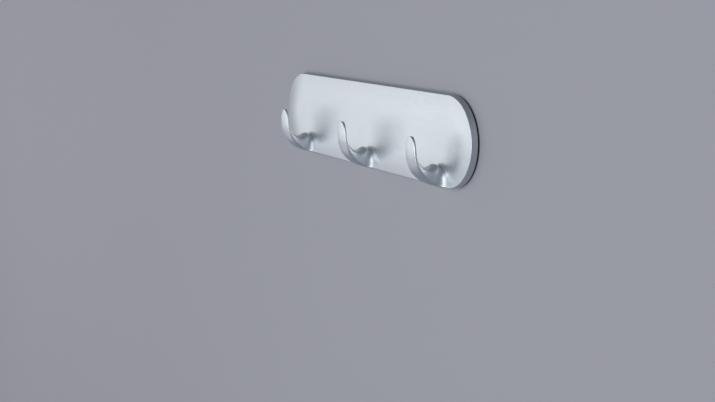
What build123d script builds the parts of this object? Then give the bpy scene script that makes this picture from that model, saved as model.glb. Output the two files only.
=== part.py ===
"""Wall hook rack: a cast plate with tongue hooks, hung on a concealed wall plate.

Millimetres, +Z up, +X along the rack, +Y into the wall.
The origin is the middle of the rack on the wall plane.
"""
import os
from math import cos, exp, hypot, radians, sin, sqrt

from build123d import *

os.makedirs("parts", exist_ok=True)

# Driving sizes of the plate
plate_length = 220.0
plate_height = 46.0
rim_depth = 3.5
face_wall = 1.5
rim_wall = 2.0
edge_round = 0.4

# Driving sizes of the hooks, measured from the plate's face and its lower edge
hook_count = 3
hook_pitch = 78.5
hook_reach = 16.5
hook_height = 25.5
hook_lift = 0.08
hook_trim = 0.03
bend_reach = 17.2
bend_rise = 18.5
tongue_width = 12.2
tongue_taper = 0.6
tongue_crown = 0.35
tip_thickness = 1.8
root_swell = 6.8
swell_angle = 48.0
swell_fade = 11.0
hump_rise = 2.7
hump_angle = 30.0
hump_front = 8.0
hump_back = 25.0
flare_width = 9.5
flare_angle = 22.0
ridge_round = 1.0
foot_round = 0.6
ridge_crease = 0.4
tip_width = 2.2
tip_edge = 1.3

# How many sections a hook has round its bend and up its tip
bend_steps = 14
tip_steps = 6

# How a section rounds over: the place of its shoulder on the tongue and at the root, and its slant
shoulder_across = 0.8
shoulder_up = 0.8
root_across = 0.78
root_up = 0.74
root_flare = 0.75
flare_slant = 0.13
tongue_slant = 0.5
tip_ridge = 0.5

# Driving sizes of the parts behind the plate
gasket_thickness = 0.9
gasket_width = 1.7
gasket_inset = 0.25
cleat_length = 140.0
cleat_land = 0.3
wall_plate_length = 170.0
wall_plate_corner = 5.0
wall_hole_pitch = 78.5
wall_hole_dia = 4.5
wall_head_dia = 8.0
lock_dia = 2.5
lock_back_wall = 0.45
lock_recess = 0.4
lock_key = 1.3
lock_key_depth = 1.2
lock_chamfer = 0.3
rib_wall = 1.2
rib_depth = 1.2

# Clearances
face_gap = 0.2
cleat_play = 0.1
lift_room = 2.4
lock_play = 0.05
rib_gap = 2.0

# Levels that follow from the driving sizes
face_y = -(rim_depth + gasket_thickness)
rim_y = -gasket_thickness
pocket_depth = rim_depth - face_wall
pocket_y = face_y + face_wall
bottom_z = -plate_height / 2
pocket_top_z = plate_height / 2 - rim_wall
pocket_bottom_z = -pocket_top_z
pocket_end_x = plate_length / 2 - rim_wall
hook_xs = [(i - (hook_count - 1) / 2) * hook_pitch for i in range(hook_count)]

# Cleat: a 45 degree lip in the plate's pocket rests on the bevelled top of the wall plate
lip_z = pocket_top_z - (pocket_depth - cleat_land)
wall_plate_y = pocket_y + face_gap
wall_plate_bottom_z = pocket_bottom_z + lift_room
bevel_front_z = pocket_top_z - face_gap - cleat_play
bevel_back_z = pocket_top_z - pocket_depth - cleat_play

# Lock screws go up through the thick roots of the two outer hooks
lock_y = rim_y - lock_back_wall - lock_dia / 2
lock_xs = {"left": hook_xs[0], "right": hook_xs[-1]}

# Hook path: a quarter ellipse under and in front of the plate's lower edge, then straight up
bend_y = face_y - (hook_reach - bend_reach)
tongue_y = bend_y - bend_reach
outer_z = bottom_z + hook_lift + bend_rise
tip_z = bottom_z + hook_height
half_tongue = tongue_width / 2

# Plate blank: a full-round slot shape with a thin rounded face edge, cored out from behind
with BuildPart() as blank:
    with BuildSketch(Plane.XZ.offset(-rim_y)):
        SlotOverall(plate_length, plate_height)
    extrude(amount=rim_depth)
    fillet(blank.faces().sort_by(Axis.Y)[0].edges(), radius=edge_round)
    with BuildSketch(Plane.XZ.offset(-rim_y)):
        SlotOverall(plate_length - 2 * rim_wall, plate_height - 2 * rim_wall)
    extrude(amount=pocket_depth, mode=Mode.SUBTRACT)

# Hook sections: (plane, half width, thickness, shoulder place, ridge rounding, slant, crown)
sections = []
for step in range(bend_steps + 1):
    angle = 90 * (step / bend_steps) ** 1.5
    turn = radians(angle)
    root = max(0.0, 1 - angle / flare_angle)
    place = (0, bend_y - bend_reach * sin(turn), outer_z - bend_rise * cos(turn))
    along = (0, -bend_reach * cos(turn), bend_rise * sin(turn))
    flare = flare_width * (1 - sqrt(1 - root**2))
    half_width = half_tongue + flare - tongue_taper * sin(turn) ** 6
    swell = root_swell / (1 + exp((angle - swell_angle) / swell_fade))
    hump_spread = hump_back if angle < hump_angle else hump_front
    hump = hump_rise * exp(-(((angle - hump_angle) / hump_spread) ** 2))
    thickness = tip_thickness + swell + hump
    swollen = swell / root_swell
    across = shoulder_across + (root_across - shoulder_across) * swollen
    up = shoulder_up + (root_up - shoulder_up) * swollen
    shoulder = (across * (half_width - flare) + root_flare * flare, up * thickness)
    ridge = ridge_round + (foot_round - ridge_round) * root
    slant = flare_slant * flare + tongue_slant * (1 - swollen)
    crown = tongue_crown * (1 - root)
    plane = Plane(place, (1, 0, 0), along)
    sections.append((plane, half_width, thickness, shoulder, ridge, slant, crown))
for step in range(1, tip_steps + 1):
    turn = radians(90 * step / tip_steps)
    plane = Plane((0, tongue_y, outer_z + (tip_z - outer_z) * sin(turn)), (1, 0, 0), (0, 0, 1))
    half_width = tip_width / 2 + (half_tongue - tongue_taper - tip_width / 2) * cos(turn)
    thickness = tip_thickness - (tip_thickness - tip_edge) * sin(turn) ** 8
    crown = tongue_crown * half_width / half_tongue
    shoulder = (shoulder_across * half_width, shoulder_up * thickness)
    ridge = min(ridge_round, tip_ridge * half_width)
    sections.append((plane, half_width, thickness, shoulder, ridge, tongue_slant, crown))

# One hook: a crowned tongue with rounded side ridges that swells and flares into its root
with BuildPart() as hook:
    for plane, half_width, thickness, shoulder, ridge, slant, crown in sections:
        edge_x = half_width - ridge
        edge_rise = crown * (edge_x / half_width) ** 2
        ridge_rise = ridge / hypot(slant, 1)
        with BuildSketch(plane):
            with BuildLine():
                Spline((0, 0), (edge_x, edge_rise), tangents=((1, 0), (half_width, 2 * crown)))
                ridge_line = Spline(
                    (edge_x, edge_rise),
                    (half_width - slant * ridge_rise, crown + ridge_rise),
                    tangents=((1, ridge_crease), (-slant, 1)),
                )
                Spline(
                    ridge_line @ 1,
                    shoulder,
                    (0, thickness),
                    tangents=(ridge_line % 1, (-1, 0)),
                )
                mirror(about=Plane.YZ)
            make_face()
    loft(ruled=True)

# The row of hooks, trimmed to the plate's outline where the outer flares run past its straight edge
with BuildPart() as hook_row:
    with Locations([(x, 0, 0) for x in hook_xs]):
        add(hook.part)
    with BuildSketch(Plane.XZ):
        SlotOverall(plate_length - 2 * hook_trim, plate_height - 2 * hook_trim)
    extrude(amount=1 - tongue_y, mode=Mode.INTERSECT)

# Hook plate: the cored plate and its hooks in one casting
end_rib_x = (wall_plate_length / 2 + rib_gap + pocket_end_x) / 2
end_rib_length = pocket_end_x - wall_plate_length / 2 - rib_gap
with BuildPart() as hook_plate:
    add(blank.part)
    add(hook_row.part)
    with BuildSketch(Plane.YZ):
        with BuildLine():
            Polyline(
                (pocket_y, pocket_top_z),
                (pocket_y, pocket_top_z + rim_wall / 2),
                (rim_y, pocket_top_z + rim_wall / 2),
                (rim_y, lip_z),
                (rim_y - cleat_land, lip_z),
                close=True,
            )
        make_face()
    extrude(amount=cleat_length / 2, both=True)
    with BuildSketch(Plane.XZ.offset(-pocket_y)):
        with Locations((end_rib_x, 0), (-end_rib_x, 0)):
            Rectangle(rib_wall, plate_height)
            Rectangle(end_rib_length + rim_wall, rib_wall)
        SlotOverall(plate_length - rim_wall, plate_height - rim_wall, mode=Mode.INTERSECT)
    extrude(amount=-rib_depth)
    with BuildSketch(Plane.XY.offset(bottom_z)):
        with Locations([(x, lock_y) for x in lock_xs.values()]):
            Circle((lock_dia + lock_play) / 2)
    extrude(amount=wall_plate_bottom_z - bottom_z + lock_play, mode=Mode.SUBTRACT)
hook_plate.part.label = "hook_plate"
export_step(hook_plate.part, "parts/hook_plate.step")

# Wall plate: a flat bar with a bevelled top edge and two countersunk screw holes
with BuildPart() as wall_plate:
    with BuildSketch(Plane.YZ):
        with BuildLine():
            Polyline(
                (0, wall_plate_bottom_z),
                (0, bevel_back_z),
                (rim_y, bevel_back_z),
                (wall_plate_y, bevel_front_z),
                (wall_plate_y, wall_plate_bottom_z),
                close=True,
            )
        make_face()
    extrude(amount=wall_plate_length / 2, both=True)
    fillet(wall_plate.edges().filter_by(Axis.Y).group_by(Axis.Z)[0], radius=wall_plate_corner)
    with Locations(Plane.XZ.offset(-wall_plate_y)):
        with GridLocations(wall_hole_pitch, 0, 2, 1):
            CounterSinkHole(wall_hole_dia / 2, wall_head_dia / 2, counter_sink_angle=90)
wall_plate.part.label = "wall_plate"
export_step(wall_plate.part, "parts/wall_plate.step")

# Edge gasket: a soft black ring between the plate's rim and the wall
gasket_length = plate_length - 2 * gasket_inset
gasket_height = plate_height - 2 * gasket_inset
with BuildPart() as edge_gasket:
    with BuildSketch(Plane.XZ):
        SlotOverall(gasket_length, gasket_height)
        SlotOverall(gasket_length - 2 * gasket_width, gasket_height - 2 * gasket_width, mode=Mode.SUBTRACT)
    extrude(amount=gasket_thickness)
edge_gasket.part.label = "edge_gasket"
export_step(edge_gasket.part, "parts/edge_gasket.step")

# Lock screws: small socket screws that bear on the wall plate's lower edge
for end, lock_x in lock_xs.items():
    with BuildPart() as lock_screw:
        with BuildSketch(Plane.XY.offset(bottom_z + lock_recess)):
            with Locations((lock_x, lock_y)):
                Circle(lock_dia / 2)
        extrude(amount=wall_plate_bottom_z - bottom_z - lock_recess)
        chamfer(lock_screw.edges().filter_by(GeomType.CIRCLE), length=lock_chamfer)
        with BuildSketch(Plane.XY.offset(bottom_z + lock_recess)):
            with Locations((lock_x, lock_y)):
                RegularPolygon(lock_key / 2, 6, major_radius=False)
        extrude(amount=lock_key_depth, mode=Mode.SUBTRACT)
    lock_screw.part.label = f"lock_screw_{end}"
    export_step(lock_screw.part, f"parts/lock_screw_{end}.step")
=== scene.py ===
"""Looks of the wall hook rack: satin cast metal on a grey wall, in soft studio light.

Metres, in the part's own frame: +X along the rack, +Y into the wall, +Z up.
"""
from math import cos, pi, radians, sin

import bpy
from mathutils import Matrix, Vector


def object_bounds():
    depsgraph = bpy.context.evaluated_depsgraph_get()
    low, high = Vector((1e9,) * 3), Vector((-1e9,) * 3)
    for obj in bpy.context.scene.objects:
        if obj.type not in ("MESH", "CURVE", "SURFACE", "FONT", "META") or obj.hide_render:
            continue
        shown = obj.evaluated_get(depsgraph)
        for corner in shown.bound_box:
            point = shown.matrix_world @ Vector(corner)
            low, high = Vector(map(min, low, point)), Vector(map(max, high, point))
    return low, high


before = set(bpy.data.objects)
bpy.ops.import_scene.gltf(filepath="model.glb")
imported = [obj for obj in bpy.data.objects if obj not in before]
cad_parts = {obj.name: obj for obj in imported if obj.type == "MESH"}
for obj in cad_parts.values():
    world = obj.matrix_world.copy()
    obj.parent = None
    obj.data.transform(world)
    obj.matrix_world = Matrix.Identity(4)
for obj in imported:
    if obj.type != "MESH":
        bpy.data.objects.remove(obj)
cad_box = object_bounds()
scene = bpy.context.scene
scene.view_settings.view_transform = "Standard"

# Camera, fitted to the plate's outline and the hooks' tips in the photograph. Angles are in degrees
IMAGE_WIDTH = 715
FOCAL_PIXELS = 1320.05
SENSOR_WIDTH = 36
CLIP_START = 0.01
CAMERA_AT = Vector((0.64369, -0.32682, 0.07345))
CAMERA_AZIMUTH = 63.8135
CAMERA_ELEVATION = 9.1248
CAMERA_ROLL = 0.4378

# Shading: points closer than SEAM are joined, and edges steeper than CREASE degrees stay sharp
SEAM = 1e-6
CREASE = 50

# The plate's face leans back by up to EASE_LEAN over the last EASE_WIDTH before its outline.
# That fades out over FACE_FADE in front of the face and behind it
FACE_Y = -0.0044
FACE_FADE = (0.00005, 0.0003)
EASE_WIDTH = 0.017
EASE_LEAN = 0.20

# Where hanging loops polish the hooks, from none of it to all of it, and how much smoother that gets
RUBBED_OUT = (-0.0075, -0.0095)
RUBBED_DOWN = (-0.0105, -0.0150)
RUBBED_SMOOTHER = 0.06

# Where the plate's lip wears the bar's bevel, from none of it to all of it
WORN_UP = (0.0186, 0.0200)

# Base colours: the two between which each finish varies
SILVER = ((0.742, 0.785, 0.798), (0.802, 0.840, 0.848))
PAINT = ((0.026, 0.026, 0.028), (0.22, 0.22, 0.23))
RUBBER = ((0.006, 0.006, 0.007), (0.018, 0.018, 0.019))
STEEL = ((0.50, 0.50, 0.51), (0.64, 0.64, 0.66))

# Most of a noise's values lie in this range
NOISE_RANGE = (0.3, 0.7)

# Stage
WALL_GAP = 0.0003
WALL_SIZE = 6.0
WALL_COLOUR = (0.552, 0.542, 0.566, 1)
FLOOR_DROP = 0.9
FLOOR_SIZE = 12.0
FLOOR_COLOUR = (0.85, 0.85, 0.86, 1)
FLOOR_GLOW = 0.5
BACKDROP_HEIGHT = 6.0
STAGE_MOTTLE = 0.03

# Light: from all round, fading to AMBIENT_ABOVE between two heights of its direction.
# Each softbox is (place, width, height, radiance in red, green and blue), and points at the rack
AMBIENT = (0.204, 0.222, 0.270, 1)
AMBIENT_ABOVE = (0.134, 0.146, 0.178, 1)
AMBIENT_FADE = (0.25, 0.65)
SOFTBOXES = {
    "key_left": ((-0.96, -1.01, 0.03), 1.4, 0.92, (0.955, 0.955, 0.955)),
    "low_left": ((-1.14, -0.62, -0.66), 0.9, 0.35, (0.5, 0.5, 0.5)),
    "front": ((0.53, -1.19, 0.0), 0.45, 0.92, (3.85, 3.95, 4.15)),
    "back": ((0.0, 1.6, 0.5), 2.4, 1.0, (0.9, 0.9, 0.9)),
}

# Sockets of a Mix node's two colours and of their mixture, which share their names with other sockets
MIX_FIRST = 6
MIX_SECOND = 7
MIX_RESULT = 2


class Finish:
    """A procedural material and short ways to add its detail."""

    def __init__(self, name, **values):
        self.material = bpy.data.materials.new(name)
        self.material.use_nodes = True
        self.nodes = self.material.node_tree.nodes
        self.shader = self.nodes["Principled BSDF"]
        for socket, value in values.items():
            self.shader.inputs[socket.replace("_", " ")].default_value = value
        self.place = self.nodes.new("ShaderNodeTexCoord").outputs["Object"]

    def link(self, source, target):
        self.material.node_tree.links.new(source, target)

    def fill(self, sockets, values):
        """Sets each socket to its value, or links it where the value is another node's output."""
        for socket, value in zip(sockets, values):
            if isinstance(value, (int, float, tuple)):
                socket.default_value = value
            else:
                self.link(value, socket)

    def along(self, axis):
        """One coordinate of the surface point."""
        split = self.nodes.new("ShaderNodeSeparateXYZ")
        self.link(self.place, split.inputs["Vector"])
        return split.outputs[axis]

    def noise(self, size, detail, stretch=(1, 1, 1)):
        """Noise with features about size metres across, drawn out along each axis by stretch."""
        mapping = self.nodes.new("ShaderNodeMapping")
        mapping.inputs["Scale"].default_value = [1 / (size * s) for s in stretch]
        texture = self.nodes.new("ShaderNodeTexNoise")
        texture.inputs["Scale"].default_value = 1.0
        texture.inputs["Detail"].default_value = detail
        self.link(self.place, mapping.inputs["Vector"])
        self.link(mapping.outputs["Vector"], texture.inputs["Vector"])
        return texture.outputs["Fac"]

    def spread(self, source, source_range, target_range):
        """The source's range spread smoothly over the target's."""
        node = self.nodes.new("ShaderNodeMapRange")
        node.interpolation_type = "SMOOTHSTEP"
        sockets = [node.inputs[name] for name in ("From Min", "From Max", "To Min", "To Max")]
        self.fill(sockets, (*source_range, *target_range))
        self.link(source, node.inputs["Value"])
        return node.outputs["Result"]

    def math(self, operation, *values):
        """A sum, product or the like of numbers."""
        node = self.nodes.new("ShaderNodeMath")
        node.operation = operation
        self.fill(node.inputs, values)
        return node.outputs["Value"]

    def vector(self, operation, *values):
        """A sum, product or the like of vectors."""
        node = self.nodes.new("ShaderNodeVectorMath")
        node.operation = operation
        self.fill(node.inputs, values)
        return node.outputs["Value" if operation == "LENGTH" else "Vector"]

    def scaled(self, vector, factor):
        """The vector times a number."""
        node = self.nodes.new("ShaderNodeVectorMath")
        node.operation = "SCALE"
        self.fill((node.inputs["Vector"], node.inputs["Scale"]), (vector, factor))
        return node.outputs["Vector"]

    def colour(self, share, first, second):
        """The base colour goes from the first colour to the second by share."""
        mix = self.nodes.new("ShaderNodeMix")
        mix.data_type = "RGBA"
        mix.inputs[MIX_FIRST].default_value = (*first, 1)
        mix.inputs[MIX_SECOND].default_value = (*second, 1)
        self.link(share, mix.inputs["Factor"])
        self.link(mix.outputs[MIX_RESULT], self.shader.inputs["Base Color"])

    def roughness(self, source):
        self.link(source, self.shader.inputs["Roughness"])

    def bump(self, height, depth, strength, normal=None):
        """Relief that is depth metres deep, on top of a leaning normal where one is given."""
        node = self.nodes.new("ShaderNodeBump")
        node.inputs["Strength"].default_value = strength
        node.inputs["Distance"].default_value = depth
        self.link(height, node.inputs["Height"])
        if normal:
            self.link(normal, node.inputs["Normal"])
        self.link(node.outputs["Normal"], self.shader.inputs["Normal"])

    def see_through_from_behind(self):
        clear = self.nodes.new("ShaderNodeBsdfTransparent")
        side = self.nodes.new("ShaderNodeNewGeometry")
        mix = self.nodes.new("ShaderNodeMixShader")
        self.link(side.outputs["Backfacing"], mix.inputs["Fac"])
        self.link(self.shader.outputs["BSDF"], mix.inputs[1])
        self.link(clear.outputs["BSDF"], mix.inputs[2])
        self.link(mix.outputs["Shader"], self.nodes["Material Output"].inputs["Surface"])


def eased_normal(finish):
    """The surface normal, leaning outwards where the plate's face nears its round-ended outline."""
    # The outline lies half the plate's height away from the straight line between its ends' centres
    edge = (cad_box[1].z - cad_box[0].z) / 2
    line_end = cad_box[1].x - edge
    nearest = finish.vector("MINIMUM", finish.place, (line_end, 1, 0))
    nearest = finish.vector("MAXIMUM", nearest, (-line_end, -1, 0))
    outwards = finish.vector("MULTIPLY", finish.vector("SUBTRACT", finish.place, nearest), (1, 0, 1))
    lean = finish.spread(finish.vector("LENGTH", outwards), (edge - EASE_WIDTH, edge), (0, EASE_LEAN))
    off_face = finish.math("ABSOLUTE", finish.math("SUBTRACT", finish.along("Y"), FACE_Y))
    lean = finish.math("MULTIPLY", lean, finish.spread(off_face, FACE_FADE, (1, 0)))
    leaning = finish.scaled(finish.vector("NORMALIZE", outwards), lean)
    normal = finish.nodes.new("ShaderNodeNewGeometry").outputs["Normal"]
    return finish.vector("NORMALIZE", finish.vector("ADD", normal, leaning))


def satin_metal():
    """Blasted and anodised casting: a fine grain, faint clouding, and throats polished by hanging loops."""
    finish = Finish("satin_metal", Metallic=1.0)
    cloud = finish.noise(size=0.035, detail=3.0)
    grain = finish.noise(size=0.0006, detail=1.0)
    streak = finish.noise(size=0.0009, detail=2.0, stretch=(14, 1, 1))
    finish.colour(cloud, *SILVER)
    down = finish.spread(finish.along("Z"), RUBBED_DOWN, (0, 1))
    out = finish.spread(finish.along("Y"), RUBBED_OUT, (0, 1))
    patchy = finish.spread(cloud, (0.3, 0.6), (0.5, 1))
    rubbed = finish.math("MULTIPLY", finish.math("MULTIPLY", down, out), patchy)
    grained = finish.spread(grain, NOISE_RANGE, (0.37, 0.45))
    streaked = finish.math("ADD", grained, finish.spread(streak, (0.35, 0.65), (0, 0.04)))
    finish.roughness(finish.math("SUBTRACT", streaked, finish.math("MULTIPLY", rubbed, RUBBED_SMOOTHER)))
    finish.bump(grain, depth=0.00001, strength=0.6, normal=eased_normal(finish))
    return finish.material


def black_paint():
    """Powder coat with a slight orange peel, rubbed to grey along the bevel that carries the plate."""
    finish = Finish("black_paint", Metallic=0.0)
    peel = finish.noise(size=0.0014, detail=1.5)
    scuffs = finish.noise(size=0.0016, detail=3.0, stretch=(8, 1, 1))
    up = finish.spread(finish.along("Z"), WORN_UP, (0, 1))
    worn = finish.math("MULTIPLY", up, finish.spread(scuffs, (0.52, 0.66), (0, 0.7)))
    finish.colour(worn, *PAINT)
    finish.roughness(finish.spread(peel, NOISE_RANGE, (0.42, 0.56)))
    finish.bump(peel, depth=0.00003, strength=0.8)
    return finish.material


def black_rubber():
    """Matt rubber with a dusty mottle and a fine moulded texture."""
    finish = Finish("black_rubber", Metallic=0.0)
    dust = finish.noise(size=0.004, detail=4.0)
    skin = finish.noise(size=0.0005, detail=2.0)
    finish.colour(finish.spread(dust, (0.45, 0.75), (0, 1)), *RUBBER)
    finish.roughness(finish.spread(dust, NOISE_RANGE, (0.72, 0.88)))
    finish.bump(skin, depth=0.00002, strength=0.7)
    return finish.material


def screw_steel():
    """Turned steel with fine rings round its length."""
    finish = Finish("screw_steel", Metallic=1.0)
    rings = finish.noise(size=0.00008, detail=1.0, stretch=(60, 60, 1))
    stain = finish.noise(size=0.0012, detail=3.0)
    finish.colour(stain, *STEEL)
    finish.roughness(finish.spread(rings, NOISE_RANGE, (0.26, 0.40)))
    finish.bump(rings, depth=0.00001, strength=0.6)
    return finish.material


def smooth_shading():
    """A modifier's node group: joins the faces' seams and shades smoothly over edges up to CREASE degrees."""
    group = bpy.data.node_groups.new("smooth_shading", "GeometryNodeTree")
    group.interface.new_socket("Geometry", in_out="INPUT", socket_type="NodeSocketGeometry")
    group.interface.new_socket("Geometry", in_out="OUTPUT", socket_type="NodeSocketGeometry")
    add = group.nodes.new
    join = add("GeometryNodeMergeByDistance")
    join.inputs["Distance"].default_value = SEAM
    soft = add("GeometryNodeSetShadeSmooth")
    soft.domain = "FACE"
    sharp = add("GeometryNodeSetShadeSmooth")
    sharp.domain = "EDGE"
    sharp.inputs["Shade Smooth"].default_value = False
    steep = add("FunctionNodeCompare")
    steep.operation = "GREATER_THAN"
    steep.inputs["B"].default_value = radians(CREASE)
    link = group.links.new
    link(add("GeometryNodeInputMeshEdgeAngle").outputs["Unsigned Angle"], steep.inputs["A"])
    link(steep.outputs["Result"], sharp.inputs["Selection"])
    chain = (add("NodeGroupInput"), join, soft, sharp, add("NodeGroupOutput"))
    for node, following in zip(chain, chain[1:]):
        link(node.outputs["Geometry"], following.inputs["Geometry"])
    return group


def dress(node, material):
    """Gives a CAD node its material and smooth shading, with flat faces kept flat."""
    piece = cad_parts[node]
    piece.data.materials.clear()
    piece.data.materials.append(material)
    piece.modifiers.new("smooth", "NODES").node_group = shading
    normals = piece.modifiers.new("normals", "WEIGHTED_NORMAL")
    normals.keep_sharp = True
    normals.weight = 100


def stage_piece(name, corners, faces, colour, glow=0.0, one_sided=False):
    """A plain matt piece that isn't part of the object. One-sided, it can be seen through from behind.

    It only shows to the camera and takes shadows. It casts no light or shadow and shows in no reflection.
    """
    mesh = bpy.data.meshes.new(name)
    mesh.from_pydata(corners, [], faces)
    piece = bpy.data.objects.new(name, mesh)
    scene.collection.objects.link(piece)
    piece.visible_shadow = False
    piece.visible_diffuse = False
    piece.visible_glossy = False
    finish = Finish(name, Roughness=0.9, Specular_IOR_Level=0.1)
    finish.shader.inputs["Emission Color"].default_value = colour
    finish.shader.inputs["Emission Strength"].default_value = glow
    darker, lighter = ([c * share for c in colour[:3]] for share in (1 - STAGE_MOTTLE, 1 + STAGE_MOTTLE))
    finish.colour(finish.noise(size=0.5, detail=4.0), darker, lighter)
    if one_sided:
        finish.see_through_from_behind()
    mesh.materials.append(finish.material)


def rectangle(right, low, high):
    """The corners of a rectangle from -right to right across and from low to high."""
    return ((-right, low), (right, low), (right, high), (-right, high))


def softbox(name, place, width, height, radiance):
    """A rectangular soft light that points at the rack's middle."""
    light = bpy.data.lights.new(name, "AREA")
    light.shape = "RECTANGLE"
    light.size = width
    light.size_y = height
    light.color = radiance
    light.energy = pi * width * height
    lamp = bpy.data.objects.new(name, light)
    lamp.location = place
    lamp.rotation_euler = (-Vector(place)).to_track_quat("-Z", "Y").to_euler()
    lamp.visible_camera = False
    scene.collection.objects.link(lamp)


def studio_world():
    """Even light from all round that grows dimmer overhead."""
    world = bpy.data.worlds.new("studio")
    world.use_nodes = True
    add = world.node_tree.nodes.new
    direction, split = add("ShaderNodeTexCoord"), add("ShaderNodeSeparateXYZ")
    fade, mix = add("ShaderNodeMapRange"), add("ShaderNodeMix")
    fade.interpolation_type = "SMOOTHSTEP"
    fade.inputs["From Min"].default_value, fade.inputs["From Max"].default_value = AMBIENT_FADE
    mix.data_type = "RGBA"
    mix.inputs[MIX_FIRST].default_value = AMBIENT
    mix.inputs[MIX_SECOND].default_value = AMBIENT_ABOVE
    link = world.node_tree.links.new
    link(direction.outputs["Generated"], split.inputs["Vector"])
    link(split.outputs["Z"], fade.inputs["Value"])
    link(fade.outputs["Result"], mix.inputs["Factor"])
    link(mix.outputs[MIX_RESULT], world.node_tree.nodes["Background"].inputs["Color"])
    return world


# Finishes of the five pieces
shading = smooth_shading()
screw = screw_steel()
dress("hook_plate", satin_metal())
dress("wall_plate", black_paint())
dress("edge_gasket", black_rubber())
dress("lock_screw_left", screw)
dress("lock_screw_right", screw)

# Wall, and a floor with a backdrop all round
wall_y = cad_box[1].y + WALL_GAP
wall_end = WALL_SIZE / 2
floor_z = cad_box[0].z - FLOOR_DROP
floor_end = FLOOR_SIZE / 2
stage_piece(
    "wall",
    [(x, wall_y, z) for x, z in rectangle(wall_end, floor_z, wall_end)],
    [(0, 1, 2, 3)],
    WALL_COLOUR,
    one_sided=True,
)
stage_piece(
    "floor",
    [(x, y, z) for z in (floor_z, BACKDROP_HEIGHT) for x, y in rectangle(floor_end, -floor_end, floor_end)],
    [(0, 1, 2, 3), (0, 1, 5, 4), (1, 2, 6, 5), (2, 3, 7, 6), (3, 0, 4, 7)],
    FLOOR_COLOUR,
    glow=FLOOR_GLOW,
)

# Light
scene.world = studio_world()
for lamp_name, lamp_settings in SOFTBOXES.items():
    softbox(lamp_name, *lamp_settings)

# Camera
azimuth = radians(CAMERA_AZIMUTH)
elevation = radians(CAMERA_ELEVATION)
back = Vector((sin(azimuth) * cos(elevation), -cos(azimuth) * cos(elevation), sin(elevation)))
right = Vector((0, 0, 1)).cross(back).normalized()
up = back.cross(right)
turned = Matrix((right, up, back)).transposed() @ Matrix.Rotation(radians(CAMERA_ROLL), 3, "Z")
camera_data = bpy.data.cameras.new("camera")
camera_data.sensor_width = SENSOR_WIDTH
camera_data.lens = FOCAL_PIXELS / IMAGE_WIDTH * SENSOR_WIDTH
camera_data.clip_start = CLIP_START
camera = bpy.data.objects.new("camera", camera_data)
camera.matrix_world = Matrix.Translation(CAMERA_AT) @ turned.to_4x4()
scene.collection.objects.link(camera)
scene.camera = camera
